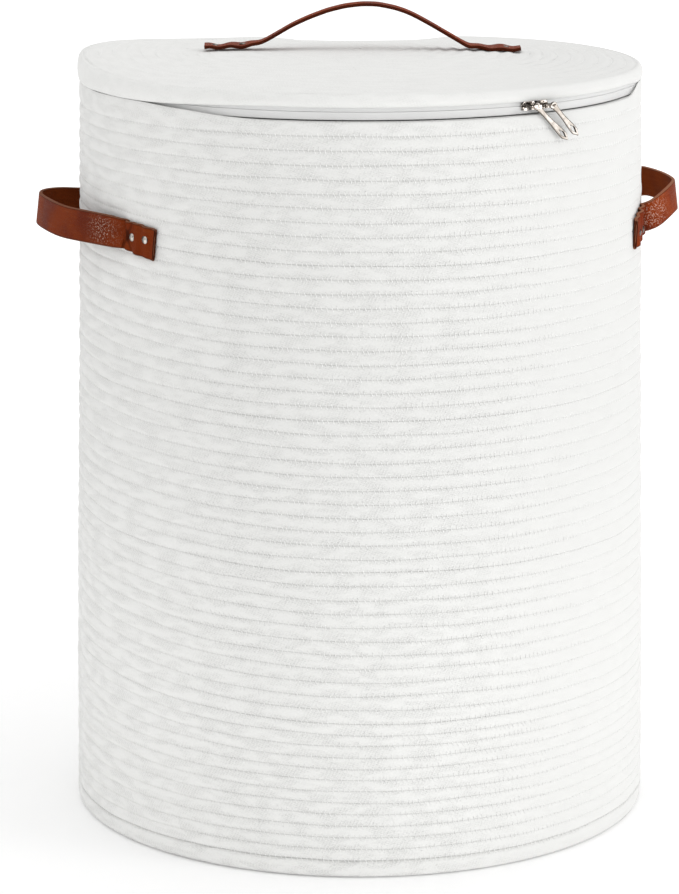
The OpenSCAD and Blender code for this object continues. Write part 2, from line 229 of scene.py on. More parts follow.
class Finish:
    def __init__(self, name):
        self.material = bpy.data.materials.new(name)
        self.material.use_nodes = True
        self.tree = self.material.node_tree
        self.tree.nodes.clear()

    def add(self, kind, settings=None, **inputs):
        """Adds a node: settings first, then each input by number (in0, in1) or by name."""
        node = self.tree.nodes.new(kind)
        for key, value in (settings or {}).items():
            setattr(node, key, value)
        for key, value in inputs.items():
            by_number = key.startswith("in") and key[2:].isdigit()
            socket = node.inputs[int(key[2:]) if by_number else key.replace("_", " ")]
            self.feed(socket, value)
        return node

    def feed(self, socket, value):
        """Links a Value to a socket, or sets the socket to a number, vector or colour."""
        if isinstance(value, Value):
            self.tree.links.new(value.socket, socket)
        elif isinstance(value, tuple) and len(value) == 3 and len(socket.default_value) == 4:
            socket.default_value = (*value, 1.0)
        else:
            socket.default_value = value

    def out(self, node, number=0):
        """One output of a node, by number."""
        return Value(self, node.outputs[number])

    def place(self, number=3):
        """Object coordinates, or the map's with number 2."""
        return self.out(self.add("ShaderNodeTexCoord"), number)

    def axes(self, where):
        """The three numbers of a place."""
        split = self.add("ShaderNodeSeparateXYZ", in0=where)
        return [self.out(split, number) for number in range(3)]

    def map_axes(self):
        """The two map coordinates: along the rope, cloth or strap, and across it."""
        return self.axes(self.place(2))[:2]

    def mark(self, name):
        """A mark of the piece: one number per point."""
        return self.out(self.add("ShaderNodeAttribute", {"attribute_name": name}), 2)

    def noise(self, where, scale, detail=2.0, roughness=0.5):
        """Smooth noise, mostly between 0.3 and 0.7."""
        return self.out(self.add("ShaderNodeTexNoise", Vector=where, Scale=scale,
                                 Detail=detail, Roughness=roughness))

    def cells(self, where, scale, feature="F1"):
        """Distance to the middle of the nearest cell, or to its edge."""
        return self.out(self.add("ShaderNodeTexVoronoi", {"feature": feature}, Vector=where,
                                 Scale=scale))

    def vector(self, x, y):
        """A flat place from two numbers."""
        return self.out(self.add("ShaderNodeCombineXYZ", in0=x, in1=y))

    def blend(self, share, first, second):
        """Colour between two colours."""
        node = self.add("ShaderNodeMix", {"data_type": "RGBA"}, in0=share, in6=first, in7=second)
        return self.out(node, 2)

    def tints(self, colour, *layers):
        """A colour under several tints, each a share and a colour, the last one on top."""
        for share, tint in layers:
            colour = self.blend(share, colour, tint)
        return colour

    def bump(self, height, distance, strength=1.0):
        """Surface direction over a height whose full swing is distance."""
        return self.out(self.add("ShaderNodeBump", Strength=strength, Distance=distance,
                                 Height=height))

    def finish(self, **inputs):
        """Sets the surface and gives the material back."""
        surface = self.add("ShaderNodeBsdfPrincipled", **inputs)
        end = self.add("ShaderNodeOutputMaterial")
        self.tree.links.new(surface.outputs[0], end.inputs[0])
        return self.material


def rope_cotton(name="rope_cotton", groove_shade=0.16, knit=1.0):
    """Knitted cotton: slanted loops in broken patches and fine fibres, with painted shade in the
    loops' low spots and in the grooves. On the right side the knit fades as under painted glare
    and an even painted grey takes its place; higher up towards the rim the colour is painted
    greyer as shade. groove_shade is the strength of the painted shade in the grooves and knit
    the strength of the loops."""
    painted_shade_grey = (0.55, 0.55, 0.54)
    kit = Finish(name)
    along, across = kit.map_axes()
    crest = kit.mark("crest")
    patch = kit.noise(kit.vector(along * 58.0, across * 170.0), 1.0, 1.0).between(0.35, 0.65)
    loops = (along * 2300.0 + across * 1500.0).sine() * (across * 2900.0 - along * 700.0).sine()
    fibres = kit.noise(kit.vector(along * 560.0, across * 700.0), 1.0, 2.0, 0.7)
    fibres = fibres.between(0.3, 0.7, form="LINEAR")
    where = kit.place()
    sideways, _, height = kit.axes(where)
    # Painted glare: on the brightly lit right side the knit's relief and its painted shade fade to
    # a quarter.
    knit_kept_in_glare = sideways.between(0.03, 0.15, 1.0, 0.25)
    relief = (loops * patch * 0.5 + fibres) * knit_kept_in_glare
    # Painted shade in the knit's low spots, where the fibres and loops dip.
    depth = (1.0 - fibres) * patch.between(0.0, 1.0, 0.35, 1.0) + loops.between(0.1, -1.0) * patch
    # Painted shade in the colour: greyer higher up, an even grey on the glared right side, grey in
    # the knit's low spots and along the grooves.
    base = kit.tints(
        kit.blend(kit.noise(where, 14.0), (0.868, 0.868, 0.849), (0.892, 0.892, 0.876)),
        (height.between(0.06, 0.36, 0.0, 0.27), painted_shade_grey),
        (depth * knit_kept_in_glare * (0.30 * knit), (0.55, 0.55, 0.535)),
        ((1 - knit_kept_in_glare) * 0.30, painted_shade_grey),
        # Painted shade along the grooves: a faint wide band and a thin darker line.
        (crest.between(0.4, 0.97, groove_shade * 0.35, 0.0), (0.50, 0.50, 0.485)),
        (crest.between(0.0, 0.32, groove_shade * 2.6, 0.0), (0.40, 0.40, 0.385)))
    return kit.finish(Base_Color=base, Roughness=0.92, Sheen_Weight=0.15, Sheen_Roughness=0.5,
                      Specular_IOR_Level=0.2, Normal=kit.bump(relief, 0.0003 * knit, 0.8))


def stitch_thread(name="stitch_thread", hole=0.42):
    """Twisted cotton thread with painted shade at both ends of a stitch, where it goes into
    its needle holes. hole is how dark that painted shade is."""
    kit = Finish(name)
    along, across = kit.map_axes()
    twist = (along * 9000.0 + across * 6.0).sine()
    end = (along / STITCH_MAP - 0.5).absolute()
    base = kit.blend(twist.between(-1, 1), (0.88, 0.88, 0.87), (0.94, 0.94, 0.93))
    # Painted shade of the needle holes at both ends of each stitch.
    base = kit.blend(end.between(0.36, 0.46, 0.0, hole), base, (0.30, 0.30, 0.29))
    return kit.finish(Base_Color=base, Roughness=0.8, Specular_IOR_Level=0.3,
                      Normal=kit.bump(twist, 0.00005))


def zip_cloth():
    """Woven polyester tape with a fine herringbone and a soft shine."""
    kit = Finish("zip_cloth")
    along, across = kit.map_axes()
    zigzag = ((across * 400.0).fraction() - 0.5).absolute() * 4.0
    weave = (along * 5000.0 + zigzag * 3.0).sine()
    shade = kit.noise(kit.place(), 30.0)
    base = kit.blend(shade, (0.70, 0.70, 0.695), (0.76, 0.76, 0.755))
    return kit.finish(Base_Color=base, Roughness=0.5, Sheen_Weight=0.2,
                      Normal=kit.bump(weave, 0.00006, 0.6))


def zip_nylon():
    """White nylon of the zip's coil, with moulding marks."""
    kit = Finish("zip_nylon")
    shade = kit.noise(kit.place(), 900.0, 2.0)
    base = kit.blend(shade, (0.74, 0.74, 0.735), (0.84, 0.84, 0.83))
    return kit.finish(Base_Color=base, Roughness=shade.between(0.2, 0.8, 0.28, 0.42),
                      Normal=kit.bump(shade, 0.00003))


def tan_leather(name="tan_leather", width=0.0218, cut_edge_highlight=0.8, painted_shade=0.0):
    """Pebbled tan leather: dark borders on its faces, a cut edge painted lighter as a highlight,
    a darker flesh side and a painted highlight on the pebbles where the shine mark is. width is
    the strap's, cut_edge_highlight is how much lighter its cut edge is painted, and
    painted_shade darkens it all as shade."""
    kit = Finish(name)
    along, across = kit.map_axes()
    inner, fold, shine = kit.mark("inner"), kit.mark("fold"), kit.mark("shine")
    where = kit.place()
    grain = kit.cells(where, 900.0, "DISTANCE_TO_EDGE")
    pits = kit.cells(where, 900.0)
    broad = kit.noise(where, 38.0, 3.0)
    streak = kit.noise(kit.vector(along * 60.0, across * 500.0), 1.0, 3.0)
    pebble = grain.between(0.0, 0.28) - pits * 0.25
    # Painted highlight: pebble tops lighter where the shine mark is.
    rubbed = (shine * 1.3).least(1.0) * kit.noise(where, 950.0, 1.0).between(0.53, 0.63)
    side = across.absolute() / (width / 2)
    # The cut edge, painted lighter as a highlight where it catches the light.
    edge = inner.between(0.25, 0.38) * inner.between(0.42, 0.55, 1.0, 0.0)
    colour = kit.tints(
        kit.blend(broad.between(0.3, 0.7), (0.200, 0.024, 0.004), (0.335, 0.054, 0.009)),
        (grain.between(0.0, 0.12, 0.4, 0.0), (0.090, 0.014, 0.005)),
        (streak.between(0.45, 0.8, 0.0, 0.25), (0.42, 0.11, 0.03)),
        (rubbed * 0.75, (0.66, 0.42, 0.33)),
        (side.between(0.86, 0.93, 0.0, 0.85), (0.045, 0.010, 0.005)),
        (inner.between(0.5, 1.0, 0.0, 0.55), (0.085, 0.020, 0.004)),
        (edge * cut_edge_highlight, (0.36, 0.15, 0.085)),
        # Painted shade in the creases' valleys.
        (fold.between(0.1, 0.9, 0.0, 0.8), (0.040, 0.008, 0.004)),
        # Painted shade over the whole strap.
        (painted_shade, (0.020, 0.004, 0.001)))
    rough = broad.between(0.3, 0.7, 0.42, 0.58) + inner * 0.25
    return kit.finish(Base_Color=colour, Roughness=rough, Specular_IOR_Level=0.03,
                      Normal=kit.bump(pebble, 0.0004, 0.8))


def nickel(name="nickel", stain=0.0):
    """Plated metal with faint brushing and a little dulling; dark marks are its shaded
    edges and stain is the share of dark patches painted in as reflections."""
    kit = Finish(name)
    where = kit.place()
    haze = kit.noise(where, 160.0, 3.0)
    hair = kit.noise(where, 1400.0, 2.0, 0.7)
    colour = kit.blend(haze.between(0.3, 0.7), (0.46, 0.41, 0.36), (0.74, 0.69, 0.64))
    # Painted reflections: dark patches where the metal would mirror dark things nearby.
    patch = kit.noise(where, 520.0, 1.0).between(0.42, 0.56) * stain
    colour = kit.blend(patch.most(kit.mark("dark")), colour, (0.035, 0.025, 0.018))
    return kit.finish(Base_Color=colour, Metallic=1.0,
                      Roughness=haze.between(0.25, 0.75, 0.16, 0.32),
                      Normal=kit.bump(hair, 0.00002, 0.5))


def floor_paint():
    """Matt white studio floor that glows like a lit backdrop away from the hamper. Its own
    middle is FLOOR_BACK behind the hamper."""
    kit = Finish("floor_paint")
    where = kit.place()
    x, y, _ = kit.axes(where)
    y = y + FLOOR_BACK
    away = (x * x + y * y).power(0.5)
    shade = kit.noise(where, 2.0)
    colour = kit.blend(shade, (0.93, 0.93, 0.93), (0.95, 0.95, 0.95))
    glow = kit.blend(away.between(0.25, 1.6), (0.11, 0.11, 0.11), (0.40, 0.40, 0.40))
    return kit.finish(Base_Color=colour, Roughness=0.9, Specular_IOR_Level=0.1,
                      Emission_Color=glow, Emission_Strength=1.0)


ROPE_COTTON = rope_cotton()
LID_COTTON = rope_cotton("lid_cotton", 0.02, 0.5)
THREAD = stitch_thread()
LID_THREAD = stitch_thread("lid_thread", 0.12)
TAPE_CLOTH = zip_cloth()
NYLON = zip_nylon()
LEATHER = tan_leather()
# The left handle's leather is painted darker as shade.
LEFT_SHADED_LEATHER = tan_leather("left_shaded_leather", painted_shade=0.36)
# The lid handle's leather is painted a little darker as shade and has no painted highlight on its
# cut edge.
LID_LEATHER = tan_leather("lid_leather", 0.016, 0.0, 0.12)
NICKEL = nickel()
# The sliders' nickel, with dark patches painted in as reflections.
PAINTED_REFLECTION_NICKEL = nickel("old_nickel", 0.9)


# ------------------------------------------------------------------ basket

AROUND = 480
AZ = round_turn(AROUND)
# Heights of the grooves, and the places across a row where its profile has points
LEVELS = np.concatenate([np.linspace(EDGE_TOP, FOOT_TOP, FOOT_ROWS + 1),
                         np.linspace(FOOT_TOP, RIM_Z, UPPER_ROWS + 1)[1:]])
ROW_SHARE = np.array([0.0, 0.035, 0.09, 0.18, 0.32, 0.5, 0.68, 0.82, 0.91, 0.965])
INNER_SHARE, INNER_DEPTH = np.array([1.0, 0.8, 0.5, 0.2]), 0.8


def wall_radius(z):
    """Outer radius of the wall's crests: a line from foot to rim, a little fuller below."""
    return BASE_R + (RIM_R - BASE_R) * z / RIM_Z + 0.8 * MM * (1 - ease(z, 0.15, 0.35))


def slump(az, z):
    """Height change of the soft wall, the sum of climb, settle, dip and bow. The rows climb
    to the left, most above the foot, and drop a little to the right; all sink slightly
    towards the rim, which dips at the hinge, and they bow upwards at the back."""
    left, right = np.clip(-np.sin(az), 0, 1) ** 2, np.clip(np.sin(az), 0, 1) ** 2
    free = ease(z, 0.02, 0.11) * (1 - ease(z, 0.40, RIM_Z))
    climb = (9.0 + 5.0 * hill(z, 0.15, 0.06)) * MM * left - 3.5 * MM * right * hill(z, 0.14, 0.07)
    settle = 1.3 * MM * (1 - ease(z, 0.15, 0.30)) * ease(z, 0.012, 0.06) \
        - RIM_SINK * ease(z, 0.20, 0.50)
    dip = -DIP * hump(az, BACK, DIP_HALF) * ease(z, 0.36, RIM_Z)
    bow = 1.5 * MM * (1 - np.cos(az)) * free
    return climb * free + settle + dip + bow


def rim_dip(az):
    """The part of the rim's height change that the zip and the hinge follow."""
    return slump(az, RIM_Z) + RIM_SINK


def row_edges(az):
    """Heights of the grooves between the rows: even steps, small wander and the slump."""
    steps = LEVELS[:, None]
    loose = ease(steps, LEVELS[0], LEVELS[2]) * (1 - ease(steps, LEVELS[-3], LEVELS[-1]))
    return steps + loose * wander(az, len(LEVELS), 2, 14, 0.35 * MM, 11) + slump(az[None], steps)


def row_swell(az):
    """Small changes of the wall's radius, for each row and for the grooves beside it."""
    rows = wander(az, len(LEVELS) - 1, 2, 30, 0.28 * MM, 12)
    broad = wander(az, 1, 3, 6, 0.5 * MM, 13)
    grooves = np.vstack([rows[:1], (rows[1:] + rows[:-1]) / 2, rows[-1:]])
    return rows + broad, grooves + broad


def side_shares(az):
    """How far a place is on the left and on the right side."""
    return ease(-np.sin(az), 0.35, 0.95), ease(np.sin(az), 0.35, 0.9)


def row_surface(az, share, scale=1.0):
    """One share of every row: its height, and its radius less the groove, which is depth
    |2 share - 1|^power deep. depth is 0.62 mm, up to 0.42 mm more on the left side and 0.20
    mm less on the right, and the power falls from 4 to 2.2 on the left, for rounder rows."""
    left, right = side_shares(az)
    depth = scale * (0.62 + 0.42 * left - 0.20 * right) * MM
    power = 4.0 - 1.8 * left
    edges = row_edges(az)
    rows, grooves = row_swell(az)
    z = edges[:-1] * (1 - share) + edges[1:] * share
    level = LEVELS[:-1, None] * (1 - share) + LEVELS[1:, None] * share
    hollow = abs(2 * share - 1)
    beside = grooves[:-1] if share < 0.5 else grooves[1:]
    swell = rows * (1 - hollow ** 2) + beside * hollow ** 2
    return z, wall_radius(level) + swell - depth * hollow ** power


def row_profile(first, last, shares, end, scale, order):
    """Heights, radii and crest marks of rows first to last, upwards in order 1 and downwards
    in order -1. One more level, the end share of the row where the profile ends, closes it."""
    levels = [row_surface(AZ, share, scale) for share in shares]
    final = row_surface(AZ, end, scale)
    row = last - 1 if order > 0 else first
    z, r = (np.vstack([np.stack([level[kind][first:last][::order] for level in levels],
                                axis=1).reshape(-1, AROUND), final[kind][row:row + 1]])
            for kind in (0, 1))
    return z, r, np.append(np.tile(1 - np.abs(2 * shares - 1) ** 4, last - first), 0.0)


def rope_band(name, first, last, nodes=()):
    """Closed ring of rows first to last: the profile goes up the outside, row by row, over
    the top and down the inside, and is carried round the axis. crest is 1 on the crests and
    less in the grooves, least where the sides don't soften them."""
    outside = row_profile(first, last, ROW_SHARE, 1.0, 1.0, 1)
    if last == len(LEVELS) - 1:
        outside = add_rim(*outside)
    inner_z, inner_r, inner_crest = row_profile(first, last, INNER_SHARE, 0.0, -INNER_DEPTH, -1)
    z = np.vstack([outside[0], inner_z])
    r = np.vstack([outside[1], inner_r - ROPE + INNER_DEPTH * MM])
    crest = np.append(outside[2], inner_crest)
    left, right = side_shares(AZ)
    # contrast: how much of the painted groove shade shows; less on the left and right sides.
    contrast = 1 - 0.5 * left - 0.45 * right
    index = grid_index(len(r), AROUND, True, True)
    piece = put(name, polar(r, AZ, z), corners(index),
                corner_map(np.append(AZ, TURN) * RIM_R, closed(z)), ROPE_COTTON,
                crest=1 - (1 - crest[:, None]) * contrast)
    return settle_in(piece, "basket", "rope", *nodes)


def lip_shares(az):
    """How far the rim's and the lid's lips close over the zip on the left and on the right."""
    angle = np.degrees(signed(az))
    return (ease(-angle, 15, 50) * (1 - ease(-angle, 120, 150)),
            ease(angle, 69, 79) * (1 - ease(angle, 118, 150)))


def add_rim(z, r, crest):
    """Rounds the rim's rope over the top and lifts its outer lip where the zip closes, by
    left_lift and right_lift millimetres over the level that it has without the sink."""
    over_r = np.array([194.2, 192.6, 190.0, 188.2])[:, None] * MM
    over_z = slump(AZ, RIM_Z) + (RIM_Z + np.array([0.15, 0.1, 0.0, -0.3]) * MM)[:, None]
    z, r = np.vstack([z, over_z]), np.vstack([r, np.broadcast_to(over_r, over_z.shape)])
    left, right = lip_shares(AZ)
    left_lift, right_lift = 3.0 + 0.9 * hump(AZ, LEFT_SIDE, 34), 5.2
    lift = (left * (left_lift * MM + RIM_SINK) + right * (right_lift * MM + RIM_SINK)) \
        * ease(r, 192.6 * MM, 195.2 * MM)
    z = z + lift * ease(z, RIM_Z - 9 * MM, RIM_Z - RIM_SINK)
    return z, r, np.concatenate([crest, [0.8, 1.0, 1.0, 0.8]])


def base_coil():
    """Flat coil under the basket: a profile from the middle of the underside out to the
    round foot row and back over the floor to the middle, with a groove at every row."""
    around = 240
    az = round_turn(around)
    rows, share, groove = 20, np.array([0.0, 0.12, 0.5, 0.88]), 1.2 * MM
    pitch = (BASE_R - ROPE / 2) / rows
    flat = ((np.arange(rows)[:, None] + share) * pitch).ravel()[1:]
    hollow = np.tile(groove * np.abs(2 * share - 1) ** 3, rows)[1:]
    bend = np.radians(np.arange(-90, 91, 15))
    full = np.abs(np.cos(bend)) ** 0.6, np.sign(bend) * np.abs(np.sin(bend)) ** 0.6
    edge_r = BASE_R - ROPE / 2 + (ROPE / 2 + 0.6 * MM) * full[0]
    edge_z = (EDGE_TOP + 0.3 * MM) / 2 * (1 + full[1])
    r = np.concatenate([[0.0], flat, edge_r, flat[::-1], [0.0]])
    z = np.concatenate([[0.4 * MM], hollow, edge_z, FLOOR - hollow[::-1], [FLOOR]])
    raised = 1 - hollow / groove
    crest = np.concatenate([[1], raised, np.ones(len(bend)), raised[::-1], [1]])
    wave = 1 + wander(az, 1, 2, 7, 0.0006, 21)[0]
    index = grid_index(len(r), around, False, True, poles=True)
    along = np.append(az, TURN) * np.maximum(r, pitch)[:, None]
    travel = np.append(0, np.cumsum(np.hypot(np.diff(r), np.diff(z))))
    piece = put("base_coil", polar(r[:, None] * wave, az, z[:, None]), corners(index),
                corner_map(along, travel[:, None]), ROPE_COTTON, crest=np.repeat(crest, around))
    return settle_in(piece, "basket", "rope", "rope_base")


def strokes(name, start, end, out, half, thick, material, body):
    """Short stitches of thread: each is a closed spindle from its start to its end with two
    four-cornered rings, half wide to both sides and thick outwards."""
    run = end - start
    side = np.cross(run, out)
    side /= np.linalg.norm(side, axis=1)[:, None]
    shares = np.array([0.0, 0.22, 0.78, 1.0])
    points = [start]
    for share in shares[1:3]:
        middle = start + run * share
        points += [middle + side * half, middle + out * thick, middle - side * half,
                   middle - out * thick]
    points = np.stack(points + [end], axis=1)
    ring = np.array([[0, 0, 0, 0, 0], [1, 2, 3, 4, 1], [5, 6, 7, 8, 5], [9, 9, 9, 9, 9]])
    faces = corners(ring) + points.shape[1] * np.arange(len(start))[:, None, None]
    span = corner_map(shares[:, None] * STITCH_MAP, np.arange(5) / 4)
    uv = np.tile(span, (len(start), 1, 1, 1)).reshape(-1, 4, 2)
    return settle_in(put(name, points, faces, uv, material), body, "rope")


def wall_stitches(name, first, last, stitch=3.5 * MM):
    """Stitches over the grooves from first to last, on the wall's own surface: slanted
    strokes from the lower right to the upper left. At the two sides they lie deep."""
    reach, uneven = 2.4 * MM, 0.16
    steps = int(round(TURN * RIM_R / stitch))
    rng = np.random.default_rng(31 + first)
    fine = np.arange(AROUND + 1) * TURN / AROUND
    edges, swell = row_edges(fine), row_swell(fine)[1]
    strands = []
    for row in range(first, last):
        az = (np.arange(steps) + rng.normal(0, 0.10, steps) + rng.uniform()) * TURN / steps
        left, right = side_shares(az)
        z = np.interp(az % TURN, fine, edges[row])
        r = wall_radius(LEVELS[row]) + np.interp(az % TURN, fine, swell[row])
        r = r - (0.05 + 0.85 * left + 0.25 * right) * MM
        low = -reach * (1 + rng.normal(0, uneven, steps))
        high = reach * (1 + rng.normal(0, uneven, steps))
        lean = (0.24 + rng.normal(0, 0.06, steps)) * TURN / steps
        strands.append((polar(r, az + lean, z + low), polar(r, az - lean, z + high),
                        polar(1.0, az, 0.0)))
    start, end, out = (np.concatenate(group) for group in zip(*strands))
    return strokes(name, start, end, out, 0.26 * MM, 0.17 * MM, THREAD, "basket")


# ------------------------------------------------------------------ lid

LID_AROUND = 360
LID_AZ = round_turn(LID_AROUND)
LID_GROOVE = 0.80 * MM
LID_PITCH = EDGE_R / LID_ROWS
LID_SHARE = np.array([0.12, 0.3, 0.5, 0.7, 0.88, 1.0])
UNDER_SHARE = np.array([0.25, 0.75, 1.0])


def lid_rise(r):
    """Rise of the lid's middle over its edge."""
    return LID_DOME * (1 - (np.minimum(r, EDGE_R) / EDGE_R) ** 2.4)


def lid_sag(r, az):
    """Soft change of the lid's height: it dips with the rim at the hinge, sinks a little
    behind the handle, swells under the handle's tabs and has shallow waves."""
    x, y = r * np.sin(az), -r * np.cos(az)
    share = r / EDGE_R
    dip = -DIP * hump(az, BACK, DIP_HALF) * ease(share, 0.55, 1.0)
    hollow = -4.6 * MM * hill(x, -0.015, 0.10) * hill(y, 0.125, 0.065)
    waves = 0.5 * MM * np.sin(x * 31 + 1.0) * np.cos(y * 27 + 0.4) * share * (1 - share) * 4
    seat = 0.8 * MM * hill(np.abs(x), 0.094, 0.022) * hill(y, 0.0, 0.016)
    return dip + hollow + waves + seat


def lid_puff(r, az):
    """Extra thickness near the lid's edge: fuller at the left, thinner at the back and a
    little thinner at the right."""
    outward = ease(r, 0.10, 0.185)
    left = 6.3 * MM * hump(az, LEFT_SIDE, 52)
    right = -0.9 * MM * hump(az, 105, 60)
    return outward * (left + right - 2.4 * MM * hump(az, BACK, 65))


def lid_top(r, az):
    """Height of the crests of the lid's rows."""
    return LID_Z + LID_T + lid_rise(r) + lid_sag(r, az) + lid_puff(r, az)


def lid_groove(az):
    """Depth of the lid's grooves, which show on the right and hardly elsewhere."""
    return LID_GROOVE * (0.10 + 0.90 * hump(az, 95, 72))


def spiral_edge(turns):
    """Radius of the coil's outer side after so many turns: a row for each turn, then even."""
    return np.clip(turns, 0, LID_ROWS) * LID_PITCH


def spiral_grid(share, first, outer_ring):
    """Point numbers and places of a coil from the middle to an outer ring of points. Each
    turn reaches from the side of the turn inside it to its own; the last one tapers off."""
    rows, steps, parts = LID_ROWS + 1, LID_AROUND, len(share)
    row = np.arange(rows)[:, None, None]
    turns = row + np.arange(steps) / steps
    r = spiral_edge(turns - 1) * (1 - share[:, None]) + spiral_edge(turns) * share[:, None]
    own = first + 1 + np.arange(r.size).reshape(r.shape)
    own[LID_ROWS, -1] = outer_ring
    inner = np.concatenate([np.full((1, 1, steps), first), own[:-1, -1:]])
    index = np.concatenate([inner, own], axis=1)
    ahead = np.concatenate([index[1:, :, :1], np.full((1, parts + 1, 1), outer_ring[0])])
    index = np.concatenate([index, ahead], axis=2)
    along = (row + np.arange(steps + 1) / steps) ** 2 * np.pi * LID_PITCH
    across = (row + np.append(0, share)[:, None]) * LID_PITCH
    turned = [0, 3, 2, 1]
    cells = np.concatenate([corners(turn)[:, turned] for turn in index])
    uv = np.concatenate([corner_map(*pair)[:, turned] for pair in zip(along, across)])
    return r, cells, uv


def lid_coil():
    """The lid: a spiral of rope on top and one below, joined by a round edge whose lower
    lip droops over the zip, most on the left."""
    bend = np.radians(np.linspace(90, -90, 11))[:, None]
    fuller = 1 - 0.5 * hump(LID_AZ, LEFT_SIDE, 60)
    edge_r = EDGE_R + LID_T / 2 * np.abs(np.cos(bend)) ** fuller
    thick = LID_T + lid_puff(EDGE_R, LID_AZ)
    middle = LID_Z + thick / 2 + lid_sag(EDGE_R, LID_AZ)
    left, right = lip_shares(LID_AZ)
    all_round, more_left, more_right = 1.2, 4.2, 2.2
    droop = (all_round + more_left * left + more_right * right) * MM * (1 - np.sin(bend)) / 2 \
        * ease(edge_r, 193.2 * MM, 194.5 * MM)
    lump = wander(LID_AZ, 1, 5, 40, 0.22 * MM, 41) * np.cos(bend)
    row_lumps = wander(LID_AZ, LID_ROWS + 1, 3, 24, 0.12 * MM, 42)
    edge = polar(edge_r + lump, LID_AZ, middle + thick / 2 * np.sin(bend) - droop)
    ring_index = grid_index(len(bend), LID_AROUND, False, True)
    ring_uv = corner_map(np.append(LID_AZ, TURN) * LID_R, LID_R - bend * LID_T / 2)
    places, marks = [edge.reshape(-1, 3)], [np.ones(edge[..., 0].size)]
    faces, maps = [corners(ring_index)[:, ::-1]], [ring_uv[:, ::-1]]
    first = edge[..., 0].size
    for share, ring, below in ((LID_SHARE, ring_index[0, :-1], False),
                               (UNDER_SHARE, ring_index[-1, :-1], True)):
        r, cells, uv = spiral_grid(share, first, ring)
        hollow = np.abs(2 * share - 1)[:, None]
        if below:
            z = LID_Z + lid_rise(r) + lid_sag(r, LID_AZ) + 0.8 * MM * hollow ** 3
        else:
            z = lid_top(r, LID_AZ) - lid_groove(LID_AZ) * (0.5 - 0.5 * np.cos(np.pi * hollow)) \
                + row_lumps[:, None] * (1 - hollow ** 2)
        middle = lid_rise(0.0) + LID_Z + (0 if below else LID_T - LID_GROOVE)
        places += [np.array([[0.0, 0.0, middle]]), polar(r, LID_AZ, z).reshape(-1, 3)]
        marks += [np.array([0.6]), np.broadcast_to(1 - hollow ** 4, r.shape).ravel()]
        faces.append(cells[:, ::-1] if below else cells)
        maps.append(uv[:, ::-1] if below else uv)
        first += 1 + r.size
    piece = put("lid_rope", np.concatenate(places), np.concatenate(faces), np.concatenate(maps),
                LID_COTTON, crest=np.concatenate(marks))
    return settle_in(piece, "lid", "rope", "lid_coil")


def lid_stitches(stitch=3.8 * MM):
    """Stitches over the lid's spiral groove, from the third turn to the edge, at even steps
    of its length."""
    turns = np.arange(2.0, LID_ROWS - 0.02, 0.00002)
    length = np.concatenate([[0], np.cumsum(np.hypot(
        np.diff(turns) * TURN * spiral_edge(turns[1:]), np.diff(turns) * LID_PITCH))])
    at = np.interp(np.arange(int(length[-1] / stitch)) * stitch, length, turns)
    az = at * TURN
    reach = 1.5 * MM * (1 + np.random.default_rng(51).normal(0, 0.12, az.shape))
    low, high = spiral_edge(at) - reach, spiral_edge(at) + reach
    lean = 0.25 * stitch / spiral_edge(at)
    deep = 0.9 * lid_groove(az) + 0.03 * MM
    start = polar(low, az - lean, lid_top(low, az) - deep)
    end = polar(high, az + lean, lid_top(high, az) - deep)
    return strokes("lid_stitches", start, end, np.tile(UP, (len(az), 1)), 0.22 * MM, 0.09 * MM,
                   LID_THREAD, "lid")


# ------------------------------------------------------------------ zip

def zip_tape(name, low, high, sway, body, node):
    """Woven tape round the zip from its low to its high edge: a thin closed strip, thicker
    at its two rolled edges. sway draws its ripple. It follows the rim's dip and swells out
    to the rim where the lips close on the right."""
    share = np.array([0.0, 0.06, 0.16, 0.3, 0.5, 0.7, 0.84, 0.94, 1.0])
    away = np.abs(2 * share - 1)
    roll = 0.22 * MM * away ** 4 * np.sqrt(1 - away ** 12)
    height = low + (high - low) * share
    r = np.append(ZIP_R + 0.40 * MM + roll, np.full(len(share), ZIP_R - 0.25 * MM))[:, None]
    z = np.append(height, height[::-1])[:, None] + rim_dip(AZ)
    ripple = wander(AZ, 1, 12, 60, 0.05 * MM, sway)
    full = 3.4 * MM * hump(AZ, 81, 14)
    across = np.concatenate([height, height[::-1] + 10 * MM, height[:1]])
    piece = put(name, polar(r + ripple + full, AZ, z),
                corners(grid_index(len(r), AROUND, True, True)),
                corner_map(np.append(AZ, TURN) * ZIP_R, across[:, None]), TAPE_CLOTH)
    return settle_in(piece, body, "zip_cloth", node)


def zip_teeth(name, z_low, z_high, body, node):
    """Nylon coil of one half: small round-backed loops side by side, each an eight-sided
    bead with pinched ends, standing on the tape's edge."""
    pitch = 2.4 * MM
    count = int(2 * ZIP_HALF * ZIP_R / pitch)
    az = (np.arange(count) - (count - 1) / 2) * pitch / ZIP_R
    ring = round_turn(8)
    up = np.array([0.0, 0.12, 0.5, 0.88, 1.0])[:, None]
    girth = np.array([0.0, 0.75, 1.0, 0.75, 0.0])[:, None]
    across = 0.7 * MM * girth * np.cos(ring)
    around = 0.92 * MM * girth * np.sin(ring)
    angle = az[:, None, None] + around / ZIP_R
    height = z_low + (z_high - z_low) * up + rim_dip(angle)
    turned = [1, 0, 3, 2]
    faces = [corners(grid_index(*across.shape, False, True, bead * across.size, True))[:, turned]
             for bead in range(count)]
    piece = put(name, polar(ZIP_R - 1.1 * MM + across, angle, height), np.concatenate(faces),
                None, NYLON)
    return settle_in(piece, body, "zip_chain", node)


